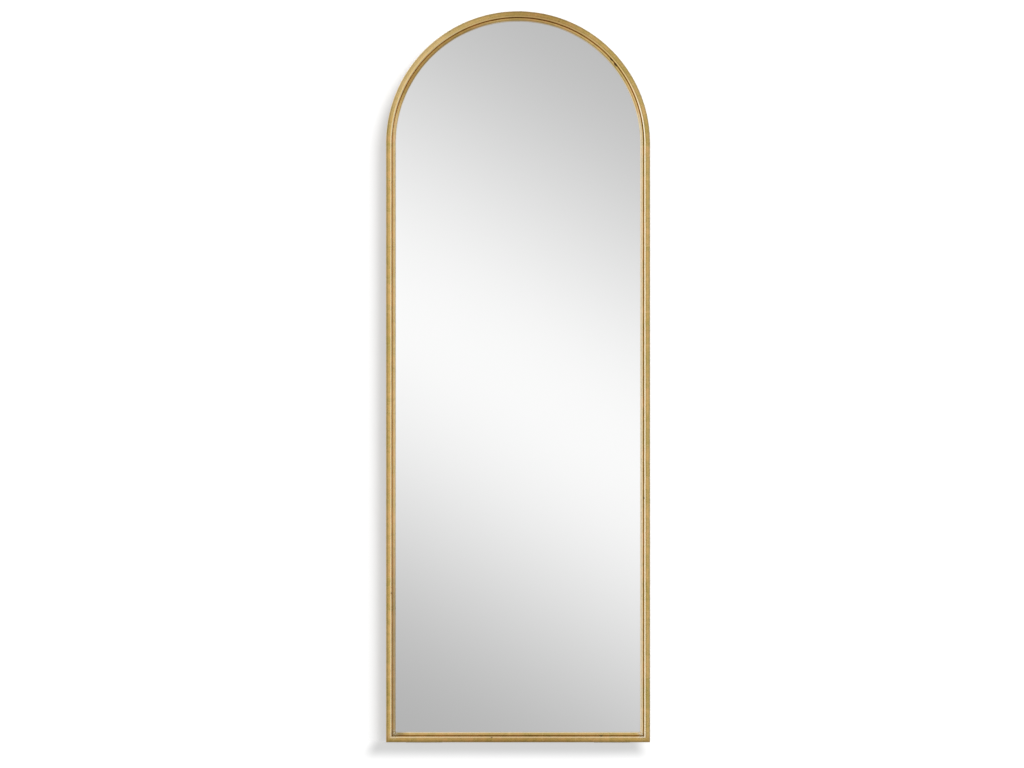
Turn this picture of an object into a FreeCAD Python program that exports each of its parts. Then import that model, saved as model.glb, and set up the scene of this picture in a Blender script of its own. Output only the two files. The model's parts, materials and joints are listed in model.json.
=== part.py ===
import FreeCAD, Part
import math
import os
from FreeCAD import Vector as V

# Arched full-length leaning floor mirror, built as a bench assembly.
# Millimetres, +Z up. The mirror stands upright in the XZ plane and faces -Y.
# The origin is on the floor plane, at the centre of the whole object's footprint.
# "u" below is the distance from the frame's outer edge inwards across its face,
# "d" is the depth behind the frame's front plane.

# ---------------------------------------------------------------- driving dimensions
FRAME_W = 660.4          # 26 in over the frame
FRAME_H = 1828.8         # 72 in over the frame
R_OUT = FRAME_W / 2.0    # the top is a full semicircle

TUBE_W = 15.0            # outer hoop, width of its face
TUBE_D = 24.0            # outer hoop, depth
TUBE_WALL = 1.2
EDGE_R = 2.0             # rounding of the hoop's outer front edge
SHOULDER_R = 6.0         # rounding of the hoop's inner front shoulder
BACK_R = 1.0             # rounding of the hoop's back edges

BEAD_W = 9.2             # half-round bead inside the hoop
BEAD_SETBACK = 3.6       # crown of the bead behind the front plane
BEAD_BACK = 11.0         # flat back of the bead, where the glass bears

GLASS_T = 4.0
FOAM_T = 3.0
BOARD_T = 6.0
PANE_GAP = 1.5           # glass to hoop, all round
BOARD_GAP = 1.0          # board to hoop, at the sides and the arch

PAD_T = 1.5              # non-slip feet, wrapped round the rail's lower back edge
PAD_L = 90.0
PAD_D0 = 2.2             # front end of a foot, behind the front plane
PAD_BACK = 3.5           # its rubber behind the rail
PAD_UP = 12.0            # and how far that goes up the rail's back
PAD_X = 235.0

BUMPER_H = 10.0          # rubber bumpers on the back
BUMPER_R = 6.5
BUMPER_ANGLE = 62.0      # top pair, degrees up from the horizontal about the arch centre
BUMPER_LOW_Z = 100.0

BUTTON_L = 30.0          # turn button, pivot to tip
BUTTON_W = 12.6
BUTTON_T = 1.5
BUTTON_GAP = 0.2
BUTTON_Z = (280.0, 790.0, 1300.0)

SCREW_R = 2.0            # M4 throughout
HEAD_R = 3.8
HEAD_H = 2.3

PLATE_T = 2.0            # hanger plate
PLATE_Z0 = 1386.0
PLATE_Z1 = 1446.0
PLATE_U0 = 1.5
PLATE_U1 = 50.0
STRAP_T = 1.2            # folded strap of the D-ring
STRAP_W = 15.2
STRAP_L = 36.0
STRAP_U = 32.5
RING_WIRE_R = 1.5
RING_GAP = 0.3
RING_Z = 1436.0          # the ring's bar
RING_HALF = 9.8
RING_DROP = 15.5
RING_REST_DEG = 5.5      # the ring lies just clear of its strap

# ---------------------------------------------------------------- derived
Y0 = -(TUBE_D + BUMPER_H) / 2.0        # front plane
Z0 = PAD_T                             # underside of the rail
SPRING_Z = Z0 + FRAME_H - R_OUT        # where the straight stiles meet the arch
Y_BACK = Y0 + TUBE_D                   # back plane of the hoop
U_MID = TUBE_W / 2.0
BEAD_R = BEAD_W / 2.0
MITRE = 60.0

NODES = {}


def put(name, *shapes):
    """One node; several shapes make a group of separate solids."""
    NODES[name] = shapes[0] if len(shapes) == 1 else Part.makeCompound(list(shapes))


def seg(a, b):
    return Part.LineSegment(a, b).toShape()


def arc(a, m, b):
    return Part.Arc(a, m, b).toShape()


def corner(c, r, a0, a1, at):
    """Arc about c in the (u, d) plane, from a0 to a1 degrees."""
    p = [at(c[0] + r * math.cos(math.radians(a)), c[1] + r * math.sin(math.radians(a)))
         for a in (a0, (a0 + a1) / 2.0, a1)]
    return arc(*p)


def tube_wire(at, inset):
    """Closed outline of the hoop's section, inset by the wall for the cavity."""
    w, dd = TUBE_W, TUBE_D
    i = inset
    re, rs, rb = EDGE_R - i, SHOULDER_R - i, max(BACK_R - i, 0.3)
    if re <= 0:
        re = 0.3
    e = [
        seg(at(i + re, i), at(w - SHOULDER_R, i)),
        corner((w - SHOULDER_R, SHOULDER_R), rs, -90, 0, at),
        seg(at(w - i, SHOULDER_R), at(w - i, dd - i - rb)),
        corner((w - i - rb, dd - i - rb), rb, 0, 90, at),
        seg(at(w - i - rb, dd - i), at(i + rb, dd - i)),
        corner((i + rb, dd - i - rb), rb, 90, 180, at),
        seg(at(i, dd - i - rb), at(i, i + re)),
        corner((i + re, i + re), re, 180, 270, at),
    ]
    return Part.Wire(Part.__sortEdges__(e))


def tube_face(at):
    outer = Part.Face(tube_wire(at, 0.0))
    inner = Part.Face(tube_wire(at, TUBE_WALL))
    return outer.cut(inner).Faces[0]


def bead_face(at):
    u0, u1 = TUBE_W, TUBE_W + BEAD_W
    cu, cd = TUBE_W + BEAD_R, BEAD_SETBACK + BEAD_R
    e = [
        corner((cu, cd), BEAD_R, 180, 360, at),
        seg(at(u1, cd), at(u1, BEAD_BACK)),
        seg(at(u1, BEAD_BACK), at(u0, BEAD_BACK)),
        seg(at(u0, BEAD_BACK), at(u0, cd)),
    ]
    return Part.Face(Part.Wire(Part.__sortEdges__(e)))


def at_left(z):
    return lambda u, d: V(-R_OUT + u, Y0 + d, z)


def at_right(z):
    return lambda u, d: V(R_OUT - u, Y0 + d, z)


def at_rail(x):
    return lambda u, d: V(x, Y0 + d, Z0 + u)


def prism(points_xz, y0, y1):
    pts = [V(x, y0, z) for x, z in points_xz]
    w = Part.makePolygon(pts + [pts[0]])
    return Part.Face(w).extrude(V(0, y1 - y0, 0))


def solid(s):
    """The one solid of a result, facing outwards."""
    out = s.Solids[0]
    if out.Volume < 0:
        out.reverse()
    return out


def cyl_y(x, z, r, d0, d1):
    """Cylinder along Y between two depths."""
    return Part.makeCylinder(r, d1 - d0, V(x, Y0 + d0, z), V(0, 1, 0))


def stile(section, side):
    at = at_left(Z0) if side < 0 else at_right(Z0)
    body = section(at).extrude(V(0, 0, SPRING_Z - Z0))
    x = side * R_OUT
    keep = prism([(x + side * 5, Z0 - 5), (x - side * MITRE, Z0 + MITRE),
                  (x - side * MITRE, SPRING_Z), (x + side * 5, SPRING_Z)], Y0 - 5, Y_BACK + 5)
    return solid(body.common(keep))


def rail(section):
    body = section(at_rail(-R_OUT)).extrude(V(FRAME_W, 0, 0))
    keep = prism([(-R_OUT - 5, Z0 - 5), (R_OUT + 5, Z0 - 5),
                  (R_OUT - MITRE, Z0 + MITRE), (-R_OUT + MITRE, Z0 + MITRE)], Y0 - 5, Y_BACK + 5)
    return solid(body.common(keep))


def arch(section):
    return solid(section(at_right(SPRING_Z)).revolve(V(0, 0, SPRING_Z), V(0, -1, 0), 180))


# ---------------------------------------------------------------- where things are fixed on the back
def on_arch(deg, u=U_MID):
    a = math.radians(deg)
    return ((R_OUT - u) * math.cos(a), SPRING_Z + (R_OUT - u) * math.sin(a))


X_MID = R_OUT - U_MID
BUTTONS = {
    # name: x, z, direction of the tongue in the XZ plane
    "turn_button_left_lower": (-X_MID, BUTTON_Z[0], (1, 0)),
    "turn_button_left_middle": (-X_MID, BUTTON_Z[1], (1, 0)),
    "turn_button_left_upper": (-X_MID, BUTTON_Z[2], (1, 0)),
    "turn_button_right_lower": (X_MID, BUTTON_Z[0], (-1, 0)),
    "turn_button_right_middle": (X_MID, BUTTON_Z[1], (-1, 0)),
    "turn_button_right_upper": (X_MID, BUTTON_Z[2], (-1, 0)),
    "turn_button_top": (0.0, SPRING_Z + X_MID, (0, -1)),
    "turn_button_bottom": (0.0, Z0 + U_MID, (0, 1)),
}
BUMPERS = {
    "wall_bumper_top_left": on_arch(180 - BUMPER_ANGLE),
    "wall_bumper_top_right": on_arch(BUMPER_ANGLE),
    "wall_bumper_bottom_left": (-X_MID, BUMPER_LOW_Z),
    "wall_bumper_bottom_right": (X_MID, BUMPER_LOW_Z),
}
KEY_LEG = 56.0
KEY_SCREW = 42.0
KEY_SCREWS = [(s * X_MID, Z0 + KEY_SCREW) for s in (-1, 1)] + \
             [(s * (R_OUT - KEY_SCREW), Z0 + U_MID) for s in (-1, 1)]
SPLICE_HALF = 38.0
SPLICE_SCREW = 24.0
SPLICE_DEG = math.degrees(SPLICE_HALF / X_MID)
SPLICE_SCREW_DEG = math.degrees(SPLICE_SCREW / X_MID)
SPLICE_SCREWS = []
for s in (-1, 1):
    SPLICE_SCREWS.append((s * X_MID, SPRING_Z - SPLICE_SCREW))
    SPLICE_SCREWS.append(on_arch(90 - s * (90 - SPLICE_SCREW_DEG)))
PLATE_SCREWS = [(s * X_MID, z) for s in (-1, 1) for z in (PLATE_Z0 + 12, PLATE_Z1 - 12)]

ALL_TUBE_SCREWS = ([(x, z) for x, z, _ in BUTTONS.values()] + list(BUMPERS.values())
                   + KEY_SCREWS + SPLICE_SCREWS + PLATE_SCREWS)


def drilled(body, holes, r, d0, d1):
    """Cuts the holes that fall on this member."""
    box = body.BoundBox
    for x, z in holes:
        if box.XMin - 1 <= x <= box.XMax + 1 and box.ZMin - 1 <= z <= box.ZMax + 1:
            body = body.cut(cyl_y(x, z, r, d0, d1))
    return solid(body)


def drilled_tube(body):
    return drilled(body, ALL_TUBE_SCREWS, SCREW_R + 0.05, TUBE_D - TUBE_WALL - 1, TUBE_D + 1)


# ---------------------------------------------------------------- the frame's hoop
put("frame_arch", drilled_tube(arch(tube_face)))
put("frame_stile_left", drilled_tube(stile(tube_face, -1)))
put("frame_stile_right", drilled_tube(stile(tube_face, 1)))
put("frame_bottom_rail", drilled_tube(rail(tube_face)))

# ---------------------------------------------------------------- the bead that holds the glass
put("bead_arch", arch(bead_face))
put("bead_left", stile(bead_face, -1))
put("bead_right", stile(bead_face, 1))
put("bead_bottom", rail(bead_face))

# ---------------------------------------------------------------- joining pieces inside the tube
CAV = TUBE_WALL + 0.4
PLUG_D0 = SHOULDER_R + 0.6
PLUG_D1 = TUBE_D - TUBE_WALL
PLUG_WALL = 2.6


def plug_face(at):
    """Rectangular sleeve section that slides into the hoop and bears on its back wall."""
    def rect(i):
        p = [at(CAV + i, PLUG_D0 + i), at(TUBE_W - CAV - i, PLUG_D0 + i),
             at(TUBE_W - CAV - i, PLUG_D1 - i), at(CAV + i, PLUG_D1 - i)]
        return Part.Face(Part.makePolygon(p + [p[0]]))
    return rect(0).cut(rect(PLUG_WALL)).Faces[0]


for side, name in ((-1, "arch_splice_left"), (1, "arch_splice_right")):
    at = at_left(SPRING_Z) if side < 0 else at_right(SPRING_Z)
    straight = plug_face(at).extrude(V(0, 0, -SPLICE_HALF))
    curved = plug_face(at).revolve(V(0, 0, SPRING_Z), V(0, -side, 0), SPLICE_DEG)
    sleeve = solid(straight.fuse(curved).removeSplitter())
    mine = [p for p in SPLICE_SCREWS if p[0] * side > 0]
    put(name, drilled(sleeve, mine, SCREW_R + 0.05, PLUG_D1 - PLUG_WALL - 1, PLUG_D1 + 1))

KEY_T = 7.0
for side, name in ((-1, "corner_key_left"), (1, "corner_key_right")):
    o, i = CAV, TUBE_W - CAV
    pts = [(o, o), (KEY_LEG, o), (KEY_LEG, i), (i, i), (i, KEY_LEG), (o, KEY_LEG)]
    key = prism([(side * (R_OUT - a), Z0 + b) for a, b in pts],
                Y0 + PLUG_D1 - KEY_T, Y0 + PLUG_D1)
    mine = [p for p in KEY_SCREWS if p[0] * side > 0]
    put(name, drilled(solid(key), mine, SCREW_R + 0.05, PLUG_D1 - KEY_T - 1, PLUG_D1 + 1))


# ---------------------------------------------------------------- screws
def screw(x, z, head_d, grip, turn=0.0):
    """Pan-head screw driven from the back: head_d is the depth of the head's seat,
    grip the length of its shank below the seat."""
    r, hr, hh = SCREW_R, HEAD_R, HEAD_H
    y = Y0 + head_d
    p = [V(0, y - grip, 0), V(r - 0.4, y - grip, 0), V(r, y - grip + 0.5, 0), V(r, y, 0),
         V(hr, y, 0), V(hr, y + 0.55 * hh, 0)]
    e = [seg(p[k], p[k + 1]) for k in range(len(p) - 1)]
    e.append(arc(p[-1], V(hr * 0.80, y + 0.90 * hh, 0), V(hr * 0.45, y + hh, 0)))
    e.append(seg(V(hr * 0.45, y + hh, 0), V(0, y + hh, 0)))
    e.append(seg(V(0, y + hh, 0), V(0, y - grip, 0)))
    s = Part.Face(Part.Wire(Part.__sortEdges__(e))).revolve(V(0, 0, 0), V(0, 1, 0), 360)
    s = solid(s)
    arm, half, deep = 2.1, 0.42, 1.3
    cross = Part.makeBox(2 * arm, deep + 1, 2 * half, V(-arm, y + hh - deep, -half)).fuse(
        Part.makeBox(2 * half, deep + 1, 2 * arm, V(-half, y + hh - deep, -arm)))
    cross.rotate(V(0, 0, 0), V(0, 1, 0), turn)
    s = solid(s.cut(cross))
    s.translate(V(x, 0, z))
    return s


def turns(n, seed):
    """Screw slots never line up: a fixed uneven series of angles."""
    return [(37.0 * (k + seed) * (k + 2 + seed)) % 90.0 for k in range(n)]


put("splice_screws", *[screw(x, z, TUBE_D, 5.5, t)
                       for (x, z), t in zip(SPLICE_SCREWS, turns(4, 1))])
put("corner_key_screws", *[screw(x, z, TUBE_D, 7.0, t)
                           for (x, z), t in zip(KEY_SCREWS, turns(4, 2))])


# ---------------------------------------------------------------- glass, foam and board
def pane(gap, bottom, d0, d1):
    r = R_OUT - TUBE_W - gap
    y = Y0 + d0
    e = [
        seg(V(-r, y, bottom), V(r, y, bottom)),
        seg(V(r, y, bottom), V(r, y, SPRING_Z)),
        arc(V(r, y, SPRING_Z), V(0, y, SPRING_Z + r), V(-r, y, SPRING_Z)),
        seg(V(-r, y, SPRING_Z), V(-r, y, bottom)),
    ]
    return solid(Part.Face(Part.Wire(Part.__sortEdges__(e))).extrude(V(0, d1 - d0, 0)))


D_GLASS = BEAD_BACK
D_FOAM = D_GLASS + GLASS_T
D_BOARD = D_FOAM + FOAM_T
RAIL_TOP = Z0 + TUBE_W
put("mirror_glass", pane(PANE_GAP, RAIL_TOP + PANE_GAP, D_GLASS, D_FOAM))
put("foam_sheet", pane(PANE_GAP, RAIL_TOP, D_FOAM, D_BOARD))
put("backing_board", pane(BOARD_GAP, RAIL_TOP, D_BOARD, D_BOARD + BOARD_T))
put("glass_setting_blocks", *[
    Part.makeBox(60, GLASS_T, PANE_GAP, V(x - 30, Y0 + D_GLASS, RAIL_TOP)) for x in (-160, 160)])


# ---------------------------------------------------------------- turn buttons
def turn_button(x, z, direction):
    """Flat steel tongue with a round pivot end and a turned-up thumb lip at its tip."""
    r0, r1 = BUTTON_W / 2.0, BUTTON_W / 2.0 - 1.2
    c1 = BUTTON_L - r1
    lean = math.asin((r0 - r1) / c1)
    cs, sn = math.cos(lean), math.sin(lean)
    d = TUBE_D + BUTTON_GAP
    a0, a1 = V(r0 * sn, 0, r0 * cs), V(c1 + r1 * sn, 0, r1 * cs)
    b0, b1 = V(r0 * sn, 0, -r0 * cs), V(c1 + r1 * sn, 0, -r1 * cs)
    e = [seg(a0, a1), arc(a1, V(BUTTON_L, 0, 0), b1), seg(b1, b0), arc(b0, V(-r0, 0, 0), a0)]
    face = Part.Face(Part.Wire(Part.__sortEdges__(e)))
    face.translate(V(0, Y0 + d, 0))
    plate = solid(face.extrude(V(0, BUTTON_T, 0)))
    lip = plate.copy()
    lip.translate(V(0, BUTTON_T, 0))
    lip = lip.common(Part.makeBox(1.6, 2.2, 2 * r1 - 3.2,
                                  V(BUTTON_L - 2.6, Y0 + d + BUTTON_T, -(r1 - 1.6))))
    plate = plate.fuse(lip).removeSplitter()
    plate = solid(plate.cut(Part.makeCylinder(SCREW_R + 0.3, 8, V(0, Y0 + d - 2, 0), V(0, 1, 0))))
    ang = -math.degrees(math.atan2(direction[1], direction[0]))
    plate.rotate(V(0, 0, 0), V(0, 1, 0), ang)
    plate.translate(V(x, 0, z))
    return plate


for name, (x, z, direction) in BUTTONS.items():
    put(name, turn_button(x, z, direction))
SEAT = TUBE_D + BUTTON_GAP + BUTTON_T + BUTTON_GAP
put("turn_button_screws", *[screw(x, z, SEAT, SEAT - TUBE_D + 5.0, t)
                            for (x, z, _), t in zip(BUTTONS.values(), turns(len(BUTTONS), 3))])


# ---------------------------------------------------------------- hanging hardware
def rounded_plate(x0, x1, z0, z1, r, y0, y1):
    e = [
        seg(V(x0 + r, y0, z0), V(x1 - r, y0, z0)), seg(V(x1, y0, z0 + r), V(x1, y0, z1 - r)),
        seg(V(x1 - r, y0, z1), V(x0 + r, y0, z1)), seg(V(x0, y0, z1 - r), V(x0, y0, z0 + r)),
    ]
    k = r * (1 - math.sqrt(0.5))
    e += [
        arc(V(x1 - r, y0, z0), V(x1 - k, y0, z0 + k), V(x1, y0, z0 + r)),
        arc(V(x1, y0, z1 - r), V(x1 - k, y0, z1 - k), V(x1 - r, y0, z1)),
        arc(V(x0 + r, y0, z1), V(x0 + k, y0, z1 - k), V(x0, y0, z1 - r)),
        arc(V(x0, y0, z0 + r), V(x0 + k, y0, z0 + k), V(x0 + r, y0, z0)),
    ]
    return solid(Part.Face(Part.Wire(Part.__sortEdges__(e))).extrude(V(0, y1 - y0, 0)))


PLATE_TOP = TUBE_D + PLATE_T                       # depth of the plate's outer face
EYE_R = RING_WIRE_R + RING_GAP                     # inside of the strap's fold
BAR_D = PLATE_TOP + STRAP_T + EYE_R                # depth of the ring's bar
STRAP_TOP = PLATE_TOP + 2 * STRAP_T
RIVET_Z = (RING_Z - 9.0, RING_Z - 28.0)
RIVET_R = 1.9
RIVET_HEAD = 3.3


def cone_y(x, z, r0, r1, d0, d1):
    return Part.makeCone(r0, r1, d1 - d0, V(x, Y0 + d0, z), V(0, 1, 0))


rivets = []
for side, word in ((-1, "left"), (1, "right")):
    xa, xb = sorted((side * (R_OUT - PLATE_U0), side * (R_OUT - PLATE_U1)))
    xs = side * (R_OUT - STRAP_U)
    plate = rounded_plate(xa, xb, PLATE_Z0, PLATE_Z1, 4.0, Y_BACK, Y_BACK + PLATE_T)
    for sx, sz in PLATE_SCREWS:
        if sx * side > 0:
            plate = plate.cut(cyl_y(sx, sz, SCREW_R + 0.2, TUBE_D - 1, PLATE_TOP + 1))
    for rz in RIVET_Z:
        plate = plate.cut(cyl_y(xs, rz, RIVET_R + 0.1, TUBE_D - 1, PLATE_TOP + 1))
    put("hanger_plate_" + word, solid(plate))

    # strap folded round the ring's bar
    half = STRAP_W / 2.0
    z_end = RING_Z - STRAP_L
    eye = Part.makeCylinder(EYE_R + STRAP_T, STRAP_W, V(xs - half, Y0 + BAR_D, RING_Z), V(1, 0, 0))
    under = Part.makeBox(STRAP_W, STRAP_T, STRAP_L, V(xs - half, Y0 + PLATE_TOP, z_end))
    over = Part.makeBox(STRAP_W, STRAP_T, STRAP_L - 2.2,
                        V(xs - half, Y0 + PLATE_TOP + STRAP_T, z_end))
    strap = eye.fuse([under, over]).removeSplitter()
    strap = strap.cut(Part.makeCylinder(EYE_R, STRAP_W + 2, V(xs - half - 1, Y0 + BAR_D, RING_Z),
                                        V(1, 0, 0)))
    strap = strap.common(rounded_plate(xs - half, xs + half, z_end, RING_Z + 12, 5.0,
                                       Y0 + TUBE_D, Y0 + TUBE_D + 14))
    for rz in RIVET_Z:
        strap = strap.cut(cyl_y(xs, rz, RIVET_R + 0.1, PLATE_TOP - 1, STRAP_TOP + 1))
        strap = strap.cut(cone_y(xs, rz, RIVET_R + 0.1, RIVET_HEAD + 0.1, STRAP_TOP - 1.4, STRAP_TOP))
        rivets.append(solid(cyl_y(xs, rz, RIVET_R, TUBE_D, STRAP_TOP).fuse(
            cone_y(xs, rz, RIVET_R, RIVET_HEAD, STRAP_TOP - 1.4, STRAP_TOP)).removeSplitter()))
    put("hanger_strap_" + word, solid(strap))

    # D-ring: straight bar through the fold, two short legs and a half-round bow
    h, c = RING_HALF, 2.0
    w = RING_DROP - h
    k = c * (1 - math.sqrt(0.5))
    P = lambda a, b: V(a, 0, -b)
    path = Part.Wire(Part.__sortEdges__([
        seg(P(-h + c, 0), P(h - c, 0)),
        arc(P(h - c, 0), P(h - k, k), P(h, c)),
        seg(P(h, c), P(h, w)),
        arc(P(h, w), P(0, RING_DROP), P(-h, w)),
        seg(P(-h, w), P(-h, c)),
        arc(P(-h, c), P(-h + k, k), P(-h + c, 0)),
    ]))
    start = path.Edges[0].valueAt(path.Edges[0].FirstParameter)
    tangent = path.Edges[0].tangentAt(path.Edges[0].FirstParameter)
    prof = Part.Wire([Part.Circle(start, tangent, RING_WIRE_R).toShape()])
    ring = solid(path.makePipeShell([prof], True, True))
    ring.rotate(V(0, 0, 0), V(1, 0, 0), RING_REST_DEG)
    ring.translate(V(xs, Y0 + BAR_D, RING_Z))
    put("d_ring_" + word, ring)

put("hanger_rivets", *rivets)
put("hanger_plate_screws", *[screw(x, z, PLATE_TOP, PLATE_T + 5.0, t)
                             for (x, z), t in zip(PLATE_SCREWS, turns(4, 4))])

# ---------------------------------------------------------------- bumpers and pads
SINK = 5.0


def bumper(x, z):
    """Tapered rubber buffer with a sunk screw."""
    y = Y0 + TUBE_D
    r0, r1, f = BUMPER_R, BUMPER_R - 0.7, 0.8
    e = [
        seg(V(2.1, y, 0), V(r0, y, 0)),
        seg(V(r0, y, 0), V(r1, y + BUMPER_H - f, 0)),
        arc(V(r1, y + BUMPER_H - f, 0), V(r1 - f * 0.3, y + BUMPER_H - f * 0.3, 0),
            V(r1 - f, y + BUMPER_H, 0)),
        seg(V(r1 - f, y + BUMPER_H, 0), V(4.1, y + BUMPER_H, 0)),
        seg(V(4.1, y + BUMPER_H, 0), V(4.1, y + SINK, 0)),
        seg(V(4.1, y + SINK, 0), V(2.1, y + SINK, 0)),
        seg(V(2.1, y + SINK, 0), V(2.1, y, 0)),
    ]
    s = solid(Part.Face(Part.Wire(Part.__sortEdges__(e))).revolve(V(0, 0, 0), V(0, 1, 0), 360))
    s.translate(V(x, 0, z))
    return s


for name, (x, z) in BUMPERS.items():
    put(name, bumper(x, z))
put("bumper_screws", *[screw(x, z, TUBE_D + SINK, SINK + 5.0, t)
                       for (x, z), t in zip(BUMPERS.values(), turns(4, 5))])



def foot(x):
    """Rubber angle: thin under the rail, thicker behind it, where a leaned mirror bears."""
    back = TUBE_D + PAD_BACK
    top = PAD_T + PAD_UP
    r = 0.8
    k = r * (1 - math.sqrt(0.5))
    P = lambda d, z: V(x - PAD_L / 2.0, Y0 + d, z)
    e = [
        seg(P(PAD_D0, 0), P(back - r, 0)),
        arc(P(back - r, 0), P(back - k, k), P(back, r)),
        seg(P(back, r), P(back, top - 2.0)),
        seg(P(back, top - 2.0), P(back - 2.0, top)),
        seg(P(back - 2.0, top), P(TUBE_D, top)),
        seg(P(TUBE_D, top), P(TUBE_D, PAD_T)),
        seg(P(TUBE_D, PAD_T), P(PAD_D0, PAD_T)),
        seg(P(PAD_D0, PAD_T), P(PAD_D0, 0)),
    ]
    return solid(Part.Face(Part.Wire(Part.__sortEdges__(e))).extrude(V(PAD_L, 0, 0)))


for side, word in ((-1, "left"), (1, "right")):
    put("floor_pad_" + word, foot(side * PAD_X))

# ---------------------------------------------------------------- write the parts
os.makedirs("parts", exist_ok=True)
total = FreeCAD.BoundBox()
for name, shape in NODES.items():
    if not shape.isValid() or any(s.Volume <= 0 for s in shape.Solids):
        raise RuntimeError(name + " is not a valid solid")
    shape.exportStep(os.path.join("parts", name + ".step"))
    total.add(shape.BoundBox)
    print("%-28s solids %2d  volume %10.1f mm3" % (name, len(shape.Solids), shape.Volume))
print("nodes", len(NODES))
print("box  x %.2f %.2f  y %.2f %.2f  z %.2f %.2f" % (
    total.XMin, total.XMax, total.YMin, total.YMax, total.ZMin, total.ZMax))
print("spring line z %.2f, back of hoop y %.2f, ring bar y %.2f z %.2f x %.2f" % (
    SPRING_Z, Y_BACK, Y0 + BAR_D, RING_Z, R_OUT - STRAP_U))
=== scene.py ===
import json
import math

import bpy
import numpy as np
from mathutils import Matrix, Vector


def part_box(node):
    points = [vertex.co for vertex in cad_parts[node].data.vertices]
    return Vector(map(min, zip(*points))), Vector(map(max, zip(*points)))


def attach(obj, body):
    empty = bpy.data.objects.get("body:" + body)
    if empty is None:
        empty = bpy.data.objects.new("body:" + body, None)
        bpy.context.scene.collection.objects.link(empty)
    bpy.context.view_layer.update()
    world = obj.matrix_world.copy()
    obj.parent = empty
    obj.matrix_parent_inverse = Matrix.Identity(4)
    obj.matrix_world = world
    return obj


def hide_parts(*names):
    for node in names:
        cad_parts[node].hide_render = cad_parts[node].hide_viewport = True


# Arched floor mirror in a gilded metal frame. Metres, +Z up, the glass faces -Y.
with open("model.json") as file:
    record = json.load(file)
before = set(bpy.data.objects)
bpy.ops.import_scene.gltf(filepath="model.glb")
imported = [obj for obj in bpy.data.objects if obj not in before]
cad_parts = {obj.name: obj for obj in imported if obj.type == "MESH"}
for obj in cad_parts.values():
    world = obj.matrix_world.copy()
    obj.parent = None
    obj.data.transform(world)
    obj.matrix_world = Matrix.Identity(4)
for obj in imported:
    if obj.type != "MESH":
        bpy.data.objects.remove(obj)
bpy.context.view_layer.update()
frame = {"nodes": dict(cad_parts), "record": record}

# ------------------------------------------------------------------ dimensions of the CAD frame, millimetres
R = 330.2
TUBE_W, TUBE_D = 15.0, 24.0
EDGE_R, SHOULDER_R, BACK_R = 2.0, 6.0, 1.0
BEAD_W, BEAD_SETBACK, BEAD_BACK = 9.2, 3.6, 11.0
Y0, Z0 = -17.0, 1.5
SPRING = 1500.1


# ------------------------------------------------------------------ small helpers
def smooth(a, b, x):
    t = np.clip((x - a) / (b - a), 0.0, 1.0)
    return t * t * (3 - 2 * t)


def hashed(i, j, k, seed):
    h = (i * 374761393 + j * 668265263 + k * 2147483647 + seed * 144665) & 0xFFFFFFFF
    h = ((h ^ (h >> 13)) * 1274126177) & 0xFFFFFFFF
    h = h ^ (h >> 16)
    return (h & 0xFFFFFF) / float(0xFFFFFF)


def noise3(p, scale, seed=0):
    """Smooth value noise from -1 to 1 at points p, in cells of the given size."""
    q = p / scale
    i = np.floor(q).astype(np.int64)
    f = q - i
    f = f * f * f * (f * (f * 6 - 15) + 10)
    out = 0.0
    for dx in (0, 1):
        for dy in (0, 1):
            for dz in (0, 1):
                w = ((f[:, 0] if dx else 1 - f[:, 0]) * (f[:, 1] if dy else 1 - f[:, 1])
                     * (f[:, 2] if dz else 1 - f[:, 2]))
                out = out + w * hashed(i[:, 0] + dx, i[:, 1] + dy, i[:, 2] + dz, seed)
    return out * 2 - 1


def mesh_object(name, verts, faces, body, mat=None, sharp=None):
    me = bpy.data.meshes.new(name)
    me.from_pydata([tuple(v) for v in verts], [], faces)
    me.validate(clean_customdata=False)
    me.update()
    ob = bpy.data.objects.new(name, me)
    bpy.context.scene.collection.objects.link(ob)
    for p in me.polygons:
        p.use_smooth = True
    if sharp is not None:
        me.set_sharp_from_angle(angle=math.radians(sharp))
    if mat is not None:
        me.materials.append(mat)
    if body:
        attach(ob, body)
    return ob


def point_values(ob, name, values):
    at = ob.data.attributes.new(name, "FLOAT", "POINT")
    at.data.foreach_set("value", np.asarray(values, np.float32))


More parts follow.
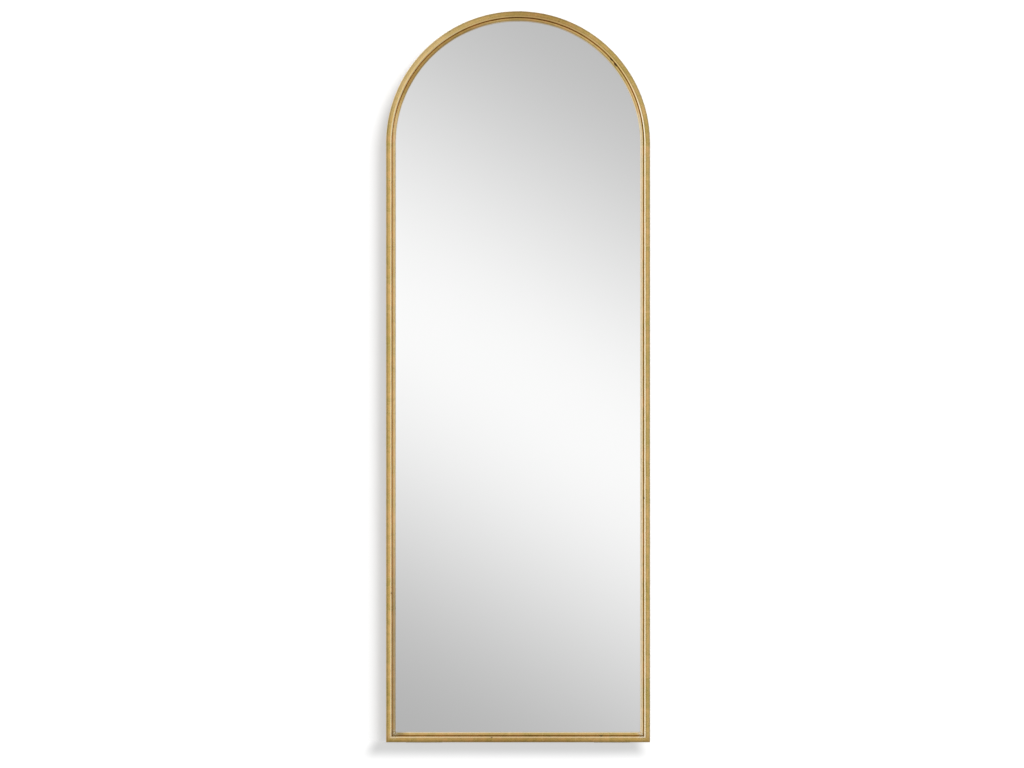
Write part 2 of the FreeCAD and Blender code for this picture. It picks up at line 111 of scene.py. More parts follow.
# ------------------------------------------------------------------ node helpers
class Nodes:
    """A little shorthand for building node trees."""

    def __init__(self, tree):
        self.t = tree
        self.n = tree.nodes
        self.l = tree.links

    def put(self, socket, value):
        if isinstance(value, bpy.types.NodeSocket):
            self.l.new(value, socket)
        elif isinstance(value, (tuple, list)) and len(value) == 3 and socket.type == "RGBA":
            socket.default_value = (*value, 1.0)
        else:
            socket.default_value = value

    def new(self, kind, **props):
        node = self.n.new(kind)
        for k, v in props.items():
            setattr(node, k, v)
        return node

    def math(self, op, a, b=None, c=None, clamp=False):
        node = self.new("ShaderNodeMath", operation=op, use_clamp=clamp)
        for s, v in zip(node.inputs, (a, b, c)):
            if v is not None:
                self.put(s, v)
        return node.outputs[0]

    def mix(self, f, a, b, blend="MIX"):
        node = self.new("ShaderNodeMix", data_type="RGBA", blend_type=blend, clamp_factor=True)
        self.put(node.inputs[0], f)
        self.put(node.inputs[6], a)
        self.put(node.inputs[7], b)
        return node.outputs[2]

    def fmix(self, f, a, b):
        node = self.new("ShaderNodeMix", data_type="FLOAT", clamp_factor=True)
        self.put(node.inputs[0], f)
        self.put(node.inputs[2], a)
        self.put(node.inputs[3], b)
        return node.outputs[0]

    def span(self, x, a, b, lo=0.0, hi=1.0, kind="SMOOTHSTEP"):
        node = self.new("ShaderNodeMapRange", interpolation_type=kind, clamp=True)
        for k, v in zip(range(5), (x, a, b, lo, hi)):
            self.put(node.inputs[k], v)
        return node.outputs[0]

    def bell(self, x, centre, half, power=1.0):
        """1 at the centre, falling smoothly to 0 at half either side."""
        d = self.math("ABSOLUTE", self.math("SUBTRACT", x, centre))
        return self.span(d, 0.0, half, 1.0, 0.0)

    def noise(self, vec, scale, detail=2.0, rough=0.5, distort=0.0, seed=0.0):
        node = self.new("ShaderNodeTexNoise", noise_dimensions="4D")
        self.put(node.inputs["Vector"], vec)
        node.inputs["W"].default_value = seed
        node.inputs["Scale"].default_value = scale
        node.inputs["Detail"].default_value = detail
        node.inputs["Roughness"].default_value = rough
        node.inputs["Distortion"].default_value = distort
        return node.outputs["Fac"]

    def voronoi(self, vec, scale, feature="F1", out="Distance", rand=1.0):
        node = self.new("ShaderNodeTexVoronoi", feature=feature)
        self.put(node.inputs["Vector"], vec)
        node.inputs["Scale"].default_value = scale
        if "Randomness" in node.inputs:
            node.inputs["Randomness"].default_value = rand
        return node.outputs[out]

    def coords(self):
        return self.new("ShaderNodeTexCoord").outputs["Object"]

    def attr(self, name):
        return self.new("ShaderNodeAttribute", attribute_name=name).outputs["Fac"]

    def scaled(self, vec, s, off=(0, 0, 0)):
        node = self.new("ShaderNodeMapping")
        self.put(node.inputs["Vector"], vec)
        node.inputs["Scale"].default_value = s
        node.inputs["Location"].default_value = off
        return node.outputs[0]

    def bump(self, height, distance, strength=1.0, base=None):
        node = self.new("ShaderNodeBump")
        node.inputs["Strength"].default_value = strength
        node.inputs["Distance"].default_value = distance
        self.put(node.inputs["Height"], height)
        if base is not None:
            self.put(node.inputs["Normal"], base)
        return node.outputs[0]


def material(name):
    m = bpy.data.materials.new(name)
    m.use_nodes = True
    m.node_tree.nodes.clear()
    k = Nodes(m.node_tree)
    out = k.new("ShaderNodeOutputMaterial")
    bsdf = k.new("ShaderNodeBsdfPrincipled")
    k.l.new(bsdf.outputs[0], out.inputs[0])
    return m, k, bsdf


def colour(hexa):
    """sRGB to linear."""
    c = [int(hexa[i:i + 2], 16) / 255.0 for i in (0, 2, 4)]
    return tuple(v / 12.92 if v <= 0.04045 else ((v + 0.055) / 1.055) ** 2.4 for v in c)


# ------------------------------------------------------------------ materials
def gold_leaf():
    """Hand-laid leaf over red-brown bole on metal, glazed dark in the groove, that dark partly painted shade. The rims
    carry painted shade and the ridge, bead and lip painted highlights, all in the colour.
    u is millimetres across the face from the outer edge, d depth behind the front plane,
    s millimetres along the member."""
    m, k, b = material("gold_leaf")
    P = k.coords()
    u, d, s = k.attr("u_mm"), k.attr("d_mm"), k.attr("s_mm")

    # the leaves: squares laid along the member, with ragged laps
    ragged = k.noise(P, 160.0, 3.0, 0.6, seed=3.1)
    pos = k.math("ADD", k.math("DIVIDE", s, 83.0), k.math("MULTIPLY", ragged, 0.07))
    leaf_id = k.math("FLOOR", pos)
    white = k.new("ShaderNodeTexWhiteNoise", noise_dimensions="1D")
    k.put(white.inputs["W"], leaf_id)
    tone = white.outputs["Value"]
    lap = k.span(k.math("FRACT", pos), 0.0, 0.045, 1.0, 0.0)

    # broad drift of tint along the member, then cloudy mottling
    drift = k.noise(P, 14.0, 2.0, 0.55, seed=7.7)
    cloud = k.noise(P, 52.0, 5.0, 0.62, 0.4, seed=1.9)
    fine = k.noise(P, 310.0, 4.0, 0.6, seed=5.3)
    grain = k.noise(P, 1100.0, 2.0, 0.5, seed=2.2)

    base = k.mix(k.span(cloud, 0.36, 0.64), (0.57, 0.415, 0.110), (0.82, 0.525, 0.175))
    pink = k.span(k.noise(P, 33.0, 3.0, 0.6, 0.3, seed=11.5), 0.50, 0.68)
    base = k.mix(k.math("MULTIPLY", pink, 0.60), base, (0.90, 0.50, 0.215))
    olive = k.span(k.math("ADD", k.math("MULTIPLY", drift, 0.6), k.math("MULTIPLY", fine, 0.4)), 0.50, 0.66)
    base = k.mix(k.math("MULTIPLY", olive, 0.55), base, (0.47, 0.395, 0.095))
    base = k.mix(0.32, base, k.mix(tone, (0.62, 0.450, 0.115), (0.90, 0.595, 0.245)))
    base = k.mix(k.math("MULTIPLY", lap, 0.35), base, (0.92, 0.70, 0.33))
    base = k.mix(k.math("MULTIPLY", k.span(fine, 0.54, 0.70), 0.25), base, (0.95, 0.76, 0.46))

    # across the face: rim, shoulder, groove, bead
    wob = k.math("MULTIPLY", k.math("SUBTRACT", k.noise(P, 90.0, 2.0, 0.5, seed=8.8), 0.5), 1.6)
    uw = k.math("ADD", u, wob)
    shallow = k.span(d, 6.0, 9.5, 1.0, 0.0)
    rim = k.math("MULTIPLY", k.span(uw, 2.6, 5.2, 1.0, 0.0), k.span(uw, -0.6, 2.2, 0.70, 1.0))
    ridge = k.math("MULTIPLY", k.bell(uw, 12.4, 2.6), shallow)
    groove = k.math("MULTIPLY", k.bell(uw, 15.5, 1.9), k.span(d, 1.6, 4.4))
    crown = k.bell(uw, 19.2, 2.4)
    inner = k.bell(uw, 22.1, 1.5)
    lip = k.math("MULTIPLY", k.span(u, 22.7, 23.6), k.span(d, 8.3, 9.4, 1.0, 0.0))

    # painted shade: the outer rim is darkened in colour
    base = k.mix(k.math("MULTIPLY", rim, 0.50), base, (0.27, 0.20, 0.080))
    geo_at = k.new("ShaderNodeSeparateXYZ")
    k.put(geo_at.inputs[0], P)
    over_arch = k.span(geo_at.outputs[2], 1.60, 1.70)
    # painted highlight: the shoulder ridge is coloured pale along its crest, burnished leaf and painted highlight both,
    # paler on the stiles than over the arch
    ridge_tone = k.mix(over_arch, (1.0, 0.83, 0.55), (1.0, 0.73, 0.33))
    base = k.mix(k.math("MULTIPLY", ridge, 0.84), base, ridge_tone)
    # painted highlight on the bead's crown and painted shade on its inner flank, both in the colour
    base = k.mix(k.math("MULTIPLY", crown, 0.30), base, (0.90, 0.67, 0.36))
    base = k.mix(k.math("MULTIPLY", inner, 0.30), base, (0.42, 0.32, 0.14))
    # painted highlight: the beads of the stiles are coloured pale, much more on the right than on the left
    side = k.math("MULTIPLY", k.span(k.math("ABSOLUTE", geo_at.outputs[0]), 0.296, 0.306), k.math("SUBTRACT", 1.0, over_arch))
    bead_painted_highlight = k.math("MULTIPLY", k.bell(uw, 20.6, 3.0), k.span(geo_at.outputs[0], -0.2, 0.2, 0.16, 0.90))
    base = k.mix(k.math("MULTIPLY", side, bead_painted_highlight), base, (1.0, 0.87, 0.66))
    # painted highlight: a pale line along the shoulder of the right stile
    shoulder_painted_highlight = k.math("MULTIPLY", k.bell(uw, 13.0, 1.8), k.span(geo_at.outputs[0], -0.2, 0.2, 0.0, 0.80))
    base = k.mix(k.math("MULTIPLY", side, shoulder_painted_highlight), base, (1.0, 0.93, 0.72))
    # painted highlight: the bead's lip beside the glass is coloured pale
    base = k.mix(k.math("MULTIPLY", lip, 0.82), base, (1.0, 0.92, 0.74))

    # bole: a dark glazing in the groove, partly the finish and partly painted shade, thinned on the left stile and the
    # bottom rail where light falls into the groove; and small rubbed places elsewhere
    breakup = k.noise(P, 420.0, 4.0, 0.65, 0.6, seed=4.4)
    patches = k.noise(P, 24.0, 2.0, 0.5, seed=9.1)
    place_at = k.new("ShaderNodeSeparateXYZ")
    k.put(place_at.inputs[0], P)
    px, _, pz = place_at.outputs
    lit_left_groove = k.math("MULTIPLY", k.span(px, -0.318, -0.285, 1.0, 0.0), 0.88)
    lit_rail_groove = k.math("MULTIPLY", k.span(pz, 0.022, 0.034, 1.0, 0.0), 0.40)
    kept = k.math("SUBTRACT", 1.0, k.math("MAXIMUM", lit_left_groove, lit_rail_groove))
    kept = k.math("MULTIPLY", kept, k.span(k.noise(P, 30.0, 3.0, 0.6, seed=14.0), 0.34, 0.56, 0.45, 1.0))
    in_groove = k.math("MULTIPLY", k.math("MULTIPLY", groove, kept), k.fmix(k.span(breakup, 0.40, 0.60), 0.30, 0.92))
    rubbed = k.math("MULTIPLY", k.span(breakup, 0.63, 0.69), k.span(patches, 0.52, 0.66))
    rub_rim = k.math("MULTIPLY", k.math("MAXIMUM", k.math("MAXIMUM", rim, ridge), k.math("MULTIPLY", crown, 0.8)),
                     k.span(k.noise(P, 520.0, 3.0, 0.6, seed=6.6), 0.60, 0.68))
    bole = k.math("MAXIMUM", in_groove, k.math("MULTIPLY", k.math("MAXIMUM", rubbed, rub_rim), 0.65), clamp=True)
    bole_tone = k.mix(k.span(k.noise(P, 75.0, 3.0, 0.6, seed=12.0), 0.35, 0.65), (0.35, 0.125, 0.028), (0.46, 0.225, 0.050))
    bole_tone = k.mix(over_arch, bole_tone, (0.56, 0.27, 0.045))
    base = k.mix(k.math("MULTIPLY", bole, 0.80), base, bole_tone)
    # painted highlight: the groove of the left stile is coloured pale gold
    base = k.mix(k.math("MULTIPLY", k.math("MULTIPLY", k.bell(u, 16.4, 3.2), lit_left_groove), 0.90), base, (1.0, 0.80, 0.50))

    # the leaf is darker about the crown of the arch and along the bottom rail
    uneven = k.math("MULTIPLY", k.math("SUBTRACT", k.noise(P, 9.0, 3.0, 0.6, seed=41.0), 0.5), 0.10)
    crown_darkening = k.math("MULTIPLY", k.span(k.math("ADD", pz, uneven), 1.735, 1.815),
                         k.bell(k.math("ADD", px, k.math("MULTIPLY", uneven, 0.8)), 0.055, 0.225))
    rail_darkening = k.math("MULTIPLY", k.span(pz, 0.008, 0.026, 1.0, 0.0),
                        k.span(k.math("ABSOLUTE", k.math("ADD", px, uneven)), 0.04, 0.30, 1.0, 0.55))
    crown_rail_darkening = k.math("MAXIMUM", k.math("MULTIPLY", crown_darkening, 0.85), rail_darkening)
    base = k.mix(k.math("MULTIPLY", crown_rail_darkening, 0.52), base, k.mix(1.0, base, (0.48, 0.34, 0.15), "MULTIPLY"))
    # painted highlight: the band and shoulder are coloured paler over the upper left of the arch
    far = k.math("POWER", k.math("ADD", k.math("POWER", k.math("ADD", px, 0.255), 2.0), k.math("POWER", k.math("SUBTRACT", pz, 1.705), 2.0)), 0.5)
    pale = k.math("MULTIPLY", k.span(k.math("ADD", far, uneven), 0.06, 0.19, 1.0, 0.0), k.span(u, 15.2, 17.0, 1.0, 0.0))
    # the bead is darker over the upper left of the arch
    upper_left = k.math("MULTIPLY", k.span(pz, 1.56, 1.66), k.span(px, -0.13, -0.03, 1.0, 0.0))
    bead_darkening = k.math("MULTIPLY", upper_left, k.span(u, 16.4, 18.0))
    base = k.mix(k.math("MULTIPLY", bead_darkening, 0.60), base, k.mix(1.0, base, (0.48, 0.36, 0.20), "MULTIPLY"))
    # the lower half of the left bead is duller than the rest
    low_left = k.math("MULTIPLY", k.span(px, -0.30, -0.27, 1.0, 0.0), k.span(pz, 0.30, 0.62, 1.0, 0.0))
    base = k.mix(k.math("MULTIPLY", low_left, k.span(u, 14.5, 18.0)), base, k.mix(1.0, base, (0.66, 0.66, 0.70), "MULTIPLY"))
    # painted highlight: the shoulder's inner edge is coloured bright round the left haunch of the arch
    haunch = k.math("MULTIPLY", k.span(pz, 1.49, 1.53), k.span(px, -0.19, -0.12, 0.92, 0.0))
    base = k.mix(k.math("MULTIPLY", haunch, k.bell(uw, 13.2, 1.7)), base, (1.0, 0.87, 0.54))
    base = k.mix(k.math("MULTIPLY", pale, 0.45), base, (0.97, 0.72, 0.37))

    # pits and nicks
    pit = k.span(k.voronoi(P, 240.0), 0.10, 0.17, 1.0, 0.0)
    pit = k.math("MULTIPLY", pit, k.span(k.noise(P, 46.0, 1.0, 0.5, seed=15.0), 0.60, 0.66))
    base = k.mix(k.math("MULTIPLY", pit, 0.8), base, (0.10, 0.045, 0.015))

    # a few chips down to the dark ground, each a ragged short scratch
    def chip(x, z, half, turn):
        c, sn = math.cos(math.radians(turn)), math.sin(math.radians(turn))
        dx, dz = k.math("SUBTRACT", px, x), k.math("SUBTRACT", pz, z)
        a = k.math("ADD", k.math("MULTIPLY", dx, c), k.math("MULTIPLY", dz, sn))
        e = k.math("SUBTRACT", k.math("MULTIPLY", dz, c), k.math("MULTIPLY", dx, sn))
        r = k.math("ADD", k.math("POWER", k.math("DIVIDE", a, half), 2.0), k.math("POWER", k.math("DIVIDE", e, half * 0.46), 2.0))
        return k.span(k.math("ADD", r, k.math("MULTIPLY", k.math("SUBTRACT", breakup, 0.5), 3.0)), 0.45, 1.0, 1.0, 0.0)

    chips = 0.0
    for x, z, half, turn in ((0.2438, 1.6966, 0.0066, -52), (0.2330, 1.7100, 0.0048, -44), (0.1020, 1.8050, 0.0024, -20),
                             (0.3155, 0.6120, 0.0030, 88), (-0.3170, 0.3740, 0.0026, 92), (-0.1710, 1.7790, 0.0024, 30),
                             (0.2080, 0.0170, 0.0034, 4), (-0.0660, 0.0135, 0.0028, -3)):
        chips = k.math("MAXIMUM", chips, chip(x, z, half, turn))
    base = k.mix(k.math("MULTIPLY", chips, 0.88), base, (0.12, 0.060, 0.022))

    # crumbled leaf in the two mitred corners: pale size shows beside dark ground
    crumbs = 0.0
    for cx in (-0.311, 0.311):
        r = k.math("POWER", k.math("ADD", k.math("POWER", k.math("SUBTRACT", px, cx), 2.0), k.math("POWER", k.math("SUBTRACT", pz, 0.0205), 2.0)), 0.5)
        crumbs = k.math("MAXIMUM", crumbs, k.span(r, 0.004, 0.017, 1.0, 0.0))
    speck = k.noise(P, 620.0, 3.0, 0.7, seed=51.0)
    base = k.mix(k.math("MULTIPLY", crumbs, k.span(speck, 0.54, 0.60)), base, (0.90, 0.84, 0.68))
    base = k.mix(k.math("MULTIPLY", crumbs, k.span(speck, 0.40, 0.46, 0.85, 0.0)), base, (0.16, 0.085, 0.030))

    # the back of the member is only oversprayed
    behind = k.span(k.math("ADD", d, k.math("MULTIPLY", k.noise(P, 60.0, 3.0, 0.6, seed=21.0), 5.0)), 22.5, 26.0)
    dark = k.mix(k.span(k.noise(P, 70.0, 5.0, 0.65, seed=22.0), 0.30, 0.78), (0.105, 0.074, 0.034), (0.190, 0.136, 0.060))
    base = k.mix(behind, base, dark)

    k.put(b.inputs["Base Color"], base)
    metal = k.math("SUBTRACT", 0.96, k.math("MULTIPLY", k.math("MAXIMUM", bole, behind), 0.42))
    k.put(b.inputs["Metallic"], metal)
    rough = k.math("ADD", 0.30, k.math("MULTIPLY", k.math("SUBTRACT", cloud, 0.5), 0.22))
    rough = k.math("ADD", rough, k.math("MULTIPLY", k.math("SUBTRACT", grain, 0.5), 0.18))
    rough = k.math("ADD", rough, k.math("MULTIPLY", bole, 0.24))
    rough = k.math("ADD", rough, k.math("MULTIPLY", behind, 0.18))
    rough = k.math("SUBTRACT", rough, k.math("MULTIPLY", ridge, 0.07), clamp=True)
    k.put(b.inputs["Roughness"], rough)
    b.inputs["Coat Weight"].default_value = 0.22
    b.inputs["Coat Roughness"].default_value = 0.22
    b.inputs["Coat IOR"].default_value = 1.45

    wrinkle = k.noise(k.scaled(P, (1, 1, 1)), 700.0, 5.0, 0.62, 1.2, seed=31.0)
    height = k.math("ADD", k.math("MULTIPLY", wrinkle, 0.55), k.math("MULTIPLY", cloud, 0.8))
    height = k.math("ADD", height, k.math("MULTIPLY", lap, 0.35))
    height = k.math("SUBTRACT", height, k.math("MULTIPLY", bole, 0.22))
    height = k.math("SUBTRACT", height, k.math("MULTIPLY", k.math("MAXIMUM", pit, chips), 0.8))
    k.put(b.inputs["Normal"], k.bump(height, 0.00022, 0.75))
    return m


def mirror():
    """Silvered float glass: near perfect, with the faint drift and haze of a real sheet."""
    m, k, b = material("mirror")
    P = k.coords()
    tint = k.mix(k.noise(P, 1.6, 2.0, 0.5, seed=1.0), (0.905, 0.908, 0.905), (0.925, 0.925, 0.925))
    # the ground edge of the sheet shows the green of the glass
    geo = k.new("ShaderNodeNewGeometry")
    parts = k.new("ShaderNodeSeparateXYZ")
    k.put(parts.inputs[0], geo.outputs["Normal"])
    front = k.span(k.math("ABSOLUTE", parts.outputs["Y"]), 0.90, 0.98)
    k.put(b.inputs["Base Color"], k.mix(front, (0.30, 0.42, 0.38), tint))
    k.put(b.inputs["Metallic"], k.fmix(front, 0.15, 1.0))
    haze = k.span(k.noise(P, 9.0, 3.0, 0.6, seed=2.0), 0.45, 0.80)
    rough = k.math("ADD", 0.006, k.math("MULTIPLY", haze, 0.016))
    k.put(b.inputs["Roughness"], k.fmix(front, 0.30, rough))
    wave = k.noise(P, 2.4, 1.0, 0.4, seed=3.0)
    k.put(b.inputs["Normal"], k.bump(wave, 0.00006, 0.5))
    return m


def fibreboard():
    m, k, b = material("backing_board")
    P = k.coords()
    a = k.noise(k.scaled(P, (1, 1, 0.22)), 900.0, 4.0, 0.65, 0.8, seed=1.0)
    c = k.noise(k.scaled(P, (0.22, 1, 1)), 900.0, 4.0, 0.65, 0.8, seed=2.0)
    fibre = k.math("MAXIMUM", a, c)
    clump = k.noise(P, 46.0, 4.0, 0.6, seed=3.0)
    broad = k.noise(P, 4.0, 2.0, 0.5, seed=4.0)
    base = k.mix(k.span(clump, 0.28, 0.72), colour("90694a"), colour("a47b57"))
    base = k.mix(k.math("MULTIPLY", k.span(fibre, 0.52, 0.72), 0.55), base, colour("c29a72"))
    base = k.mix(k.math("MULTIPLY", k.span(a, 0.26, 0.40, 1.0, 0.0), 0.5), base, colour("5f4029"))
    base = k.mix(k.math("MULTIPLY", k.span(broad, 0.45, 0.75), 0.25), base, colour("7d5a3c"))
    speck = k.span(k.voronoi(P, 420.0), 0.09, 0.16, 1.0, 0.0)
    base = k.mix(k.math("MULTIPLY", speck, 0.5), base, colour("4c3220"))
    scuff = k.math("MULTIPLY", k.span(k.noise(k.scaled(P, (1.0, 1.0, 0.12)), 60.0, 3.0, 0.7, 1.0, seed=6.0), 0.66, 0.72), 0.35)
    base = k.mix(scuff, base, colour("c7a681"))
    k.put(b.inputs["Base Color"], base)
    k.put(b.inputs["Roughness"], k.math("ADD", 0.74, k.math("MULTIPLY", clump, 0.2)))
    b.inputs["Specular IOR Level"].default_value = 0.3
    h = k.math("ADD", k.math("MULTIPLY", fibre, 0.8), k.math("MULTIPLY", clump, 0.5))
    k.put(b.inputs["Normal"], k.bump(h, 0.00025, 0.7))
    return m


def zinc():
    m, k, b = material("zinc_plated_steel")
    P = k.coords()
    cloud = k.noise(P, 240.0, 4.0, 0.6, seed=1.0)
    line = k.noise(k.scaled(P, (1, 1, 0.08)), 2600.0, 3.0, 0.6, seed=2.0)
    base = k.mix(k.span(cloud, 0.35, 0.65), (0.52, 0.525, 0.53), (0.72, 0.72, 0.70))
    base = k.mix(k.math("MULTIPLY", k.span(k.noise(P, 120.0, 3.0, 0.6, seed=3.0), 0.52, 0.72), 0.35), base, (0.62, 0.56, 0.42))
    dull = k.span(k.noise(P, 700.0, 4.0, 0.7, seed=4.0), 0.58, 0.70)
    base = k.mix(k.math("MULTIPLY", dull, 0.45), base, (0.36, 0.36, 0.36))
    k.put(b.inputs["Base Color"], base)
    b.inputs["Metallic"].default_value = 1.0
    r = k.math("ADD", 0.26, k.math("MULTIPLY", cloud, 0.18))
    r = k.math("ADD", r, k.math("MULTIPLY", dull, 0.20))
    k.put(b.inputs["Roughness"], r)
    k.put(b.inputs["Normal"], k.bump(k.math("ADD", k.math("MULTIPLY", line, 0.5), cloud), 0.00005, 0.6))
    return m


def plain_steel():
    m, k, b = material("plain_steel")
    P = k.coords()
    cloud = k.noise(P, 110.0, 5.0, 0.65, 0.5, seed=1.0)
    base = k.mix(k.span(cloud, 0.35, 0.66), (0.21, 0.205, 0.20), (0.42, 0.41, 0.39))
    rust = k.span(k.noise(P, 300.0, 4.0, 0.7, seed=2.0), 0.62, 0.72)
    base = k.mix(k.math("MULTIPLY", rust, 0.6), base, (0.22, 0.10, 0.04))
    k.put(b.inputs["Base Color"], base)
    k.put(b.inputs["Metallic"], k.math("SUBTRACT", 0.95, k.math("MULTIPLY", rust, 0.6)))
    k.put(b.inputs["Roughness"], k.math("ADD", 0.38, k.math("MULTIPLY", cloud, 0.3)))
    k.put(b.inputs["Normal"], k.bump(cloud, 0.0001, 0.6))
    return m


def blackened():
    m, k, b = material("blackened_steel")
    P = k.coords()
    cloud = k.noise(P, 170.0, 4.0, 0.6, 0.4, seed=1.0)
    fine = k.noise(P, 1500.0, 3.0, 0.6, seed=2.0)
    base = k.mix(k.span(cloud, 0.34, 0.68), (0.022, 0.023, 0.026), (0.060, 0.060, 0.066))
    worn = k.span(k.noise(P, 480.0, 4.0, 0.7, seed=3.0), 0.64, 0.72)
    base = k.mix(k.math("MULTIPLY", worn, 0.55), base, (0.20, 0.19, 0.18))
    k.put(b.inputs["Base Color"], base)
    k.put(b.inputs["Metallic"], k.math("ADD", 0.55, k.math("MULTIPLY", worn, 0.4)))
    k.put(b.inputs["Roughness"], k.math("ADD", 0.34, k.math("MULTIPLY", fine, 0.24)))
    k.put(b.inputs["Normal"], k.bump(k.math("ADD", fine, k.math("MULTIPLY", cloud, 0.6)), 0.00006, 0.7))
    return m


def rubber():
    m, k, b = material("black_rubber")
    P = k.coords()
    cloud = k.noise(P, 140.0, 4.0, 0.6, seed=1.0)
    fine = k.noise(P, 2200.0, 3.0, 0.6, seed=2.0)
    base = k.mix(k.span(cloud, 0.35, 0.70), (0.016, 0.016, 0.017), (0.040, 0.039, 0.038))
    dust = k.span(k.noise(P, 620.0, 4.0, 0.7, seed=3.0), 0.58, 0.74)
    base = k.mix(k.math("MULTIPLY", dust, 0.30), base, (0.16, 0.15, 0.14))
    k.put(b.inputs["Base Color"], base)
    k.put(b.inputs["Roughness"], k.math("ADD", 0.60, k.math("MULTIPLY", fine, 0.25)))
    b.inputs["Specular IOR Level"].default_value = 0.35
    k.put(b.inputs["Normal"], k.bump(fine, 0.00012, 0.7))
    return m


def pale_rubber():
    m, k, b = material("pale_rubber")
    P = k.coords()
    cloud = k.noise(P, 110.0, 4.0, 0.6, seed=1.0)
    fine = k.noise(P, 2000.0, 3.0, 0.6, seed=2.0)
    base = k.mix(k.span(cloud, 0.35, 0.70), (0.64, 0.63, 0.60), (0.52, 0.51, 0.48))
    scuff = k.span(k.noise(P, 380.0, 4.0, 0.7, seed=3.0), 0.60, 0.72)
    base = k.mix(k.math("MULTIPLY", scuff, 0.35), base, (0.34, 0.33, 0.30))
    k.put(b.inputs["Base Color"], base)
    k.put(b.inputs["Roughness"], k.math("ADD", 0.55, k.math("MULTIPLY", fine, 0.25)))
    b.inputs["Specular IOR Level"].default_value = 0.4
    k.put(b.inputs["Normal"], k.bump(fine, 0.0001, 0.7))
    return m


def foam():
    m, k, b = material("white_foam")
    P = k.coords()
    cells = k.voronoi(P, 760.0)
    cloud = k.noise(P, 60.0, 3.0, 0.6, seed=1.0)
    base = k.mix(k.span(cells, 0.1, 0.8), (0.86, 0.86, 0.85), (0.70, 0.70, 0.69))
    base = k.mix(k.math("MULTIPLY", cloud, 0.2), base, (0.78, 0.79, 0.80))
    k.put(b.inputs["Base Color"], base)
    k.put(b.inputs["Roughness"], k.math("ADD", 0.72, k.math("MULTIPLY", cells, 0.2)))
    b.inputs["Subsurface Weight"].default_value = 0.0
    k.put(b.inputs["Normal"], k.bump(cells, 0.0003, 0.7))
    return m


MATS = {
    "gold_leaf": gold_leaf(), "mirror": mirror(), "backing_board": fibreboard(),
    "zinc_plated_steel": zinc(), "plain_steel": plain_steel(), "blackened_steel": blackened(),
    "black_rubber": rubber(), "pale_rubber": pale_rubber(), "white_foam": foam(),
}

# every carried-over CAD node takes the finished material of its slot
for part in frame["record"]["subparts"]:
    ob = frame["nodes"][part["node"]]
    ob.data.materials.clear()
    ob.data.materials.append(MATS[part["material_slot"]])


# ------------------------------------------------------------------ the gilded members, swept from their sections
def arc_points(c, r, a0, a1, n, first=False):
    ks = range(0 if first else 1, n + 1)
    out = []
    for i in ks:
        a = math.radians(a0 + (a1 - a0) * i / n)
        out.append((c[0] + r * math.cos(a), c[1] + r * math.sin(a)))
    return out


def line_points(p, q, n):
    return [(p[0] + (q[0] - p[0]) * i / n, p[1] + (q[1] - p[1]) * i / n) for i in range(1, n + 1)]


def hoop_section():
    w, dd = TUBE_W, TUBE_D
    pts = arc_points((EDGE_R, EDGE_R), EDGE_R, 180, 270, 6, first=True)
    pts += line_points(pts[-1], (w - SHOULDER_R, 0.0), 12)
    pts += arc_points((w - SHOULDER_R, SHOULDER_R), SHOULDER_R, -90, 0, 16)
    pts += line_points(pts[-1], (w, dd - BACK_R), 4)
    pts += arc_points((w - BACK_R, dd - BACK_R), BACK_R, 0, 90, 3)
    pts += line_points(pts[-1], (BACK_R, dd), 5)
    pts += arc_points((BACK_R, dd - BACK_R), BACK_R, 90, 180, 3)
    pts += line_points(pts[-1], (0.0, EDGE_R), 8)[:-1]
    p = np.array(pts)
    # the band is very slightly crowned, as drawn tube is
    front = (p[:, 1] < 1e-6) & (p[:, 0] >= EDGE_R - 1e-6) & (p[:, 0] <= w - SHOULDER_R + 1e-6)
    p[front, 1] += 0.30 * ((p[front, 0] - 6.2) / 4.2) ** 2
    near = (p[:, 1] < 2.5) & ~front
    p[near, 1] += 0.30
    return p


def bead_section():
    r = BEAD_W / 2.0
    cu, cd = TUBE_W + r, BEAD_SETBACK + r
    pts = arc_points((cu, cd), r, 180, 360, 26, first=True)
    pts += line_points(pts[-1], (TUBE_W + BEAD_W, BEAD_BACK), 3)
    pts += line_points(pts[-1], (TUBE_W, BEAD_BACK), 4)
    pts += line_points(pts[-1], (TUBE_W, cd), 3)[:-1]
    return np.array(pts)


def section_normals(p):
    """Outward normals of a section whose points run clockwise about the metal."""
    t = np.roll(p, -1, 0) - np.roll(p, 1, 0)
    n = np.stack([t[:, 1], -t[:, 0]], 1)
    n /= np.linalg.norm(n, axis=1)[:, None]
    c = p.mean(0)
    if ((p - c) * n).sum() < 0:
        n = -n
    return n


def place(kind, u, d, t):
    """World position in mm of section point (u, d) at t from 0 to 1 along a member,
    the unit vectors of u and d there, and the distance along for the leaf pattern."""
    zero, one = np.zeros_like(t), np.ones_like(t)
    if kind in ("left", "right"):
        sx = -1.0 if kind == "left" else 1.0
        z = (Z0 + u) + t * (SPRING - Z0 - u)
        pos = np.stack([sx * (R - u), Y0 + d, z], -1)
        eu = np.stack([-sx * one, zero, zero], -1)
        along = z
    elif kind == "bottom":
        x = (-R + u) + t * (2 * R - 2 * u)
        pos = np.stack([x, Y0 + d, Z0 + u], -1)
        eu = np.stack([zero, zero, one], -1)
        along = x + 5000.0
    else:
        a = math.pi * t
        pos = np.stack([(R - u) * np.cos(a), Y0 + d, SPRING + (R - u) * np.sin(a)], -1)
        eu = np.stack([-np.cos(a), zero, -np.sin(a)], -1)
        along = SPRING + R * a
    ed = np.stack([zero, one, zero], -1)
    return pos, eu, ed, along


